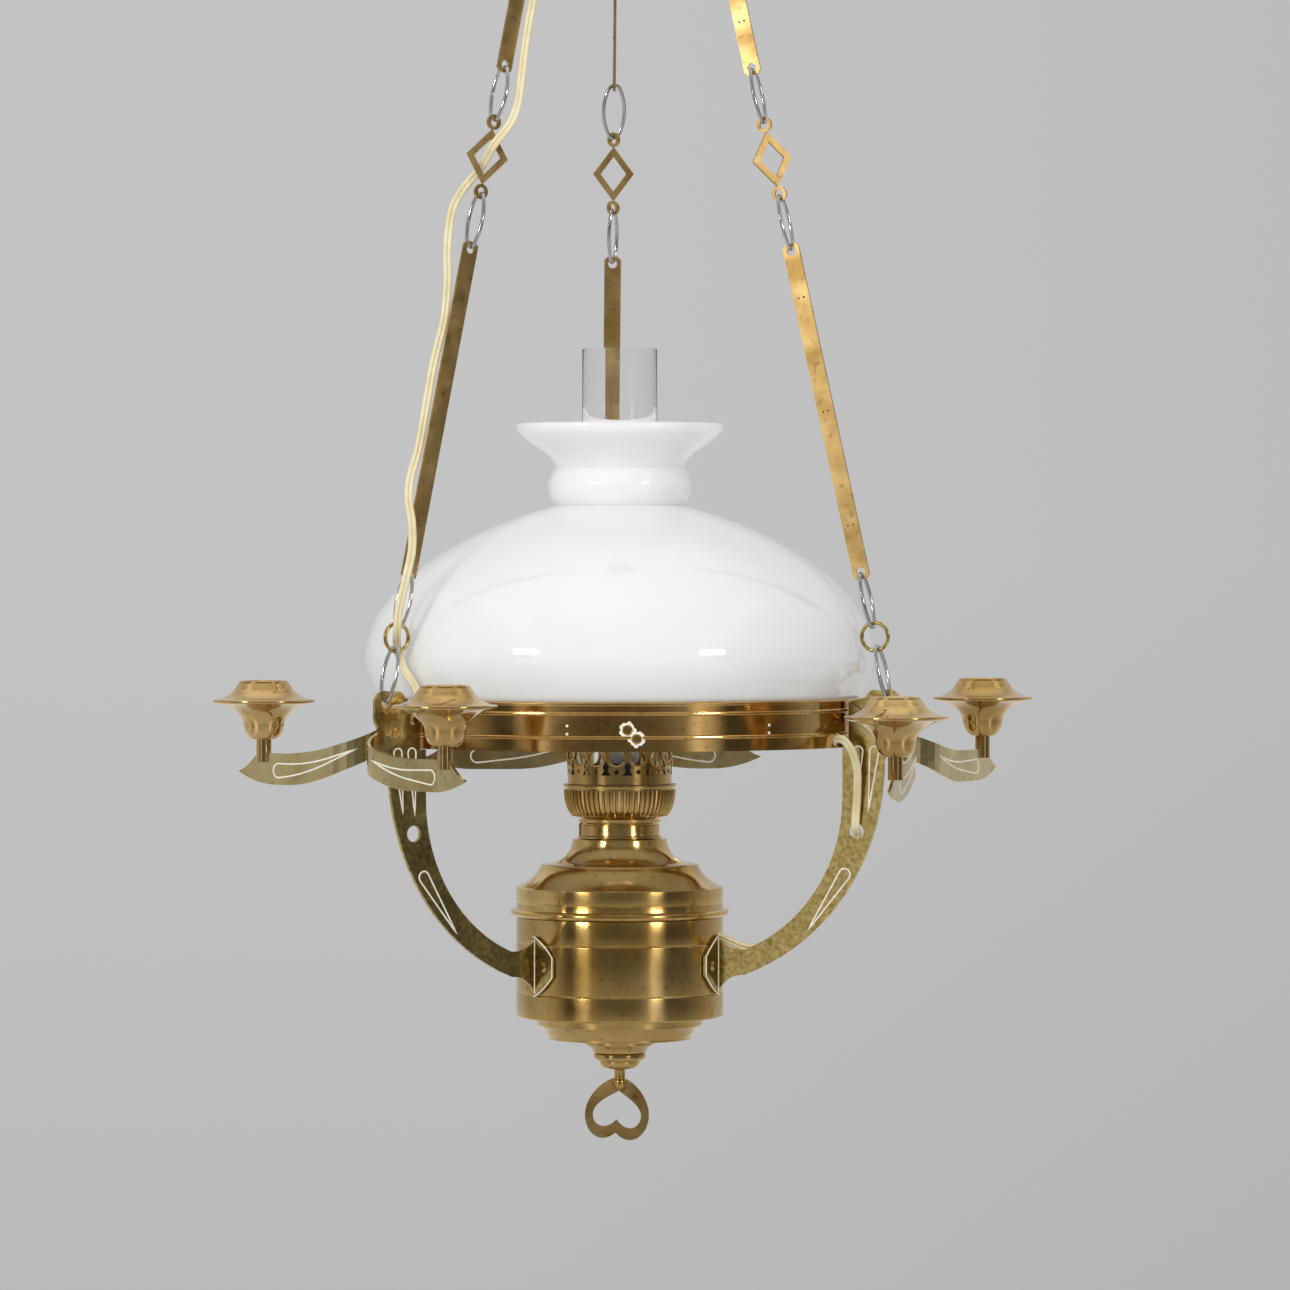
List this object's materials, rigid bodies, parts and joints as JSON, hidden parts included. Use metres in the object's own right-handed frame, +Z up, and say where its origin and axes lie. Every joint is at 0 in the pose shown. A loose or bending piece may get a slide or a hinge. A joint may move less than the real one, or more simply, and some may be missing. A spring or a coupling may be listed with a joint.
{
  "type": "hanging oil lamp",
  "caption": "Brass oil lamp hung on three flat-bar chains, with an opal glass shade, glass chimney, pierced burner gallery, candle arms and a heart drop.",
  "frame": {"origin": "middle of the hanging eye's bore", "axes": "+Z up along the lamp's axis, +X along the eye's bore and to the right in the picture, the viewer at -Y"},
  "size_m": [0.4311, 0.4093, 0.8208],
  "materials": {
    "brass": "worn polish",
    "chain_brass": "tarnished",
    "link_steel": "drawn wire",
    "opal_glass": "gloss opal",
    "clear_glass": "gloss",
    "bulb_glass": "frosted",
    "bakelite": "gloss",
    "cream_flex": "satin"
  },
  "bodies": {
    "frame": {"crown": "brass", "left_support_arm": "brass", "right_support_arm": "brass", "back_support_arm": "brass", "left_front_candle_arm": "brass", "left_side_candle_arm": "brass", "right_front_candle_arm": "brass", "right_side_candle_arm": "brass", "back_left_candle_arm": "brass", "back_right_candle_arm": "brass", "left_front_candle_cup": "brass", "left_side_candle_cup": "brass", "right_front_candle_cup": "brass", "right_side_candle_cup": "brass", "back_left_candle_cup": "brass", "back_right_candle_cup": "brass", "arm_screws": "brass", "flange_rivets": "brass", "ring_rivets": "brass", "shade_ring": "brass", "gallery": "brass", "burner": "brass", "lamp_socket": "bakelite", "bulb": "bulb_glass", "font": "brass", "font_holder": "brass", "bottom_finial": "brass", "heart_pin": "brass", "flex": "cream_flex"},
    "left_crown_link": {"left_crown_link": "link_steel"},
    "left_upper_bar": {"left_upper_bar": "chain_brass"},
    "left_upper_link": {"left_upper_link": "link_steel"},
    "left_diamond": {"left_diamond": "chain_brass"},
    "left_middle_link": {"left_middle_link": "link_steel"},
    "left_lower_bar": {"left_lower_bar": "chain_brass"},
    "left_lower_link": {"left_lower_link": "link_steel"},
    "left_round_ring": {"left_round_ring": "chain_brass"},
    "left_ear_link": {"left_ear_link": "link_steel"},
    "right_crown_link": {"right_crown_link": "link_steel"},
    "right_upper_bar": {"right_upper_bar": "chain_brass"},
    "right_upper_link": {"right_upper_link": "link_steel"},
    "right_diamond": {"right_diamond": "chain_brass"},
    "right_middle_link": {"right_middle_link": "link_steel"},
    "right_lower_bar": {"right_lower_bar": "chain_brass"},
    "right_lower_link": {"right_lower_link": "link_steel"},
    "right_round_ring": {"right_round_ring": "chain_brass"},
    "right_ear_link": {"right_ear_link": "link_steel"},
    "back_crown_link": {"back_crown_link": "link_steel"},
    "back_upper_bar": {"back_upper_bar": "chain_brass"},
    "back_upper_link": {"back_upper_link": "link_steel"},
    "back_diamond": {"back_diamond": "chain_brass"},
    "back_middle_link": {"back_middle_link": "link_steel"},
    "back_lower_bar": {"back_lower_bar": "chain_brass"},
    "back_lower_link": {"back_lower_link": "link_steel"},
    "back_round_ring": {"back_round_ring": "chain_brass"},
    "back_ear_link": {"back_ear_link": "link_steel"},
    "heart": {"heart": "brass"},
    "shade": {"shade": "opal_glass"},
    "chimney": {"chimney": "clear_glass"}
  },
  "joints": [
    {"name": "left_crown_link_twist", "type": "hinge", "parent": "frame", "child": "left_crown_link", "pos_m": [-0.02359, -0.01804, -0.046], "axis": [-0.1787, -0.1366, -0.9744], "range_deg": [-3, 3]},
    {"name": "left_upper_bar_twist", "type": "hinge", "parent": "frame", "child": "left_upper_bar", "pos_m": [-0.02359, -0.01804, -0.046], "axis": [-0.1787, -0.1366, -0.9744], "range_deg": [-3, 3]},
    {"name": "left_upper_link_twist", "type": "hinge", "parent": "frame", "child": "left_upper_link", "pos_m": [-0.02359, -0.01804, -0.046], "axis": [-0.1787, -0.1366, -0.9744], "range_deg": [-3, 3]},
    {"name": "left_diamond_twist", "type": "hinge", "parent": "frame", "child": "left_diamond", "pos_m": [-0.02359, -0.01804, -0.046], "axis": [-0.1787, -0.1366, -0.9744], "range_deg": [-3, 3]},
    {"name": "left_middle_link_twist", "type": "hinge", "parent": "frame", "child": "left_middle_link", "pos_m": [-0.02359, -0.01804, -0.046], "axis": [-0.1787, -0.1366, -0.9744], "range_deg": [-3, 3]},
    {"name": "left_lower_bar_twist", "type": "hinge", "parent": "frame", "child": "left_lower_bar", "pos_m": [-0.02359, -0.01804, -0.046], "axis": [-0.1787, -0.1366, -0.9744], "range_deg": [-3, 3]},
    {"name": "left_lower_link_twist", "type": "hinge", "parent": "frame", "child": "left_lower_link", "pos_m": [-0.02359, -0.01804, -0.046], "axis": [-0.1787, -0.1366, -0.9744], "range_deg": [-3, 3]},
    {"name": "left_round_ring_twist", "type": "hinge", "parent": "frame", "child": "left_round_ring", "pos_m": [-0.02359, -0.01804, -0.046], "axis": [-0.1787, -0.1366, -0.9744], "range_deg": [-3, 3]},
    {"name": "left_ear_link_twist", "type": "hinge", "parent": "frame", "child": "left_ear_link", "pos_m": [-0.02359, -0.01804, -0.046], "axis": [-0.1787, -0.1366, -0.9744], "range_deg": [-3, 3]},
    {"name": "right_crown_link_twist", "type": "hinge", "parent": "frame", "child": "right_crown_link", "pos_m": [0.02742, -0.01141, -0.046], "axis": [0.2077, -0.0864, -0.9744], "range_deg": [-10, 10]},
    {"name": "right_upper_bar_twist", "type": "hinge", "parent": "frame", "child": "right_upper_bar", "pos_m": [0.02742, -0.01141, -0.046], "axis": [0.2077, -0.0864, -0.9744], "range_deg": [-10, 10]},
    {"name": "right_upper_link_twist", "type": "hinge", "parent": "frame", "child": "right_upper_link", "pos_m": [0.02742, -0.01141, -0.046], "axis": [0.2077, -0.0864, -0.9744], "range_deg": [-10, 10]},
    {"name": "right_diamond_twist", "type": "hinge", "parent": "frame", "child": "right_diamond", "pos_m": [0.02742, -0.01141, -0.046], "axis": [0.2077, -0.0864, -0.9744], "range_deg": [-10, 10]},
    {"name": "right_middle_link_twist", "type": "hinge", "parent": "frame", "child": "right_middle_link", "pos_m": [0.02742, -0.01141, -0.046], "axis": [0.2077, -0.0864, -0.9744], "range_deg": [-10, 10]},
    {"name": "right_lower_bar_twist", "type": "hinge", "parent": "frame", "child": "right_lower_bar", "pos_m": [0.02742, -0.01141, -0.046], "axis": [0.2077, -0.0864, -0.9744], "range_deg": [-10, 10]},
    {"name": "right_lower_link_twist", "type": "hinge", "parent": "frame", "child": "right_lower_link", "pos_m": [0.02742, -0.01141, -0.046], "axis": [0.2077, -0.0864, -0.9744], "range_deg": [-10, 10]},
    {"name": "right_round_ring_twist", "type": "hinge", "parent": "frame", "child": "right_round_ring", "pos_m": [0.02742, -0.01141, -0.046], "axis": [0.2077, -0.0864, -0.9744], "range_deg": [-10, 10]},
    {"name": "right_ear_link_twist", "type": "hinge", "parent": "frame", "child": "right_ear_link", "pos_m": [0.02742, -0.01141, -0.046], "axis": [0.2077, -0.0864, -0.9744], "range_deg": [-10, 10]},
    {"name": "back_crown_link_twist", "type": "hinge", "parent": "frame", "child": "back_crown_link", "pos_m": [-0.00129, 0.02967, -0.046], "axis": [-0.0098, 0.2247, -0.9744], "range_deg": [-2.5, 2.5]},
    {"name": "back_upper_bar_twist", "type": "hinge", "parent": "frame", "child": "back_upper_bar", "pos_m": [-0.00129, 0.02967, -0.046], "axis": [-0.0098, 0.2247, -0.9744], "range_deg": [-2.5, 2.5]},
    {"name": "back_upper_link_twist", "type": "hinge", "parent": "frame", "child": "back_upper_link", "pos_m": [-0.00129, 0.02967, -0.046], "axis": [-0.0098, 0.2247, -0.9744], "range_deg": [-2.5, 2.5]},
    {"name": "back_diamond_twist", "type": "hinge", "parent": "frame", "child": "back_diamond", "pos_m": [-0.00129, 0.02967, -0.046], "axis": [-0.0098, 0.2247, -0.9744], "range_deg": [-2.5, 2.5]},
    {"name": "back_middle_link_twist", "type": "hinge", "parent": "frame", "child": "back_middle_link", "pos_m": [-0.00129, 0.02967, -0.046], "axis": [-0.0098, 0.2247, -0.9744], "range_deg": [-2.5, 2.5]},
    {"name": "back_lower_bar_twist", "type": "hinge", "parent": "frame", "child": "back_lower_bar", "pos_m": [-0.00129, 0.02967, -0.046], "axis": [-0.0098, 0.2247, -0.9744], "range_deg": [-2.5, 2.5]},
    {"name": "back_lower_link_twist", "type": "hinge", "parent": "frame", "child": "back_lower_link", "pos_m": [-0.00129, 0.02967, -0.046], "axis": [-0.0098, 0.2247, -0.9744], "range_deg": [-2.5, 2.5]},
    {"name": "back_round_ring_twist", "type": "hinge", "parent": "frame", "child": "back_round_ring", "pos_m": [-0.00129, 0.02967, -0.046], "axis": [-0.0098, 0.2247, -0.9744], "range_deg": [-2.5, 2.5]},
    {"name": "back_ear_link_twist", "type": "hinge", "parent": "frame", "child": "back_ear_link", "pos_m": [-0.00129, 0.02967, -0.046], "axis": [-0.0098, 0.2247, -0.9744], "range_deg": [0, 2.5]},
    {"name": "heart_swing", "type": "hinge", "parent": "frame", "child": "heart", "pos_m": [0, 0, -0.77937], "axis": [0, 1, 0], "range_deg": [-30, 30]},
    {"name": "shade_lift", "type": "slide", "parent": "frame", "child": "shade", "axis": [0, 0, 1], "range_m": [0, 0.015]},
    {"name": "chimney_lift", "type": "slide", "parent": "frame", "child": "chimney", "axis": [0, 0, 1], "range_m": [0, 0.19]}
  ]
}
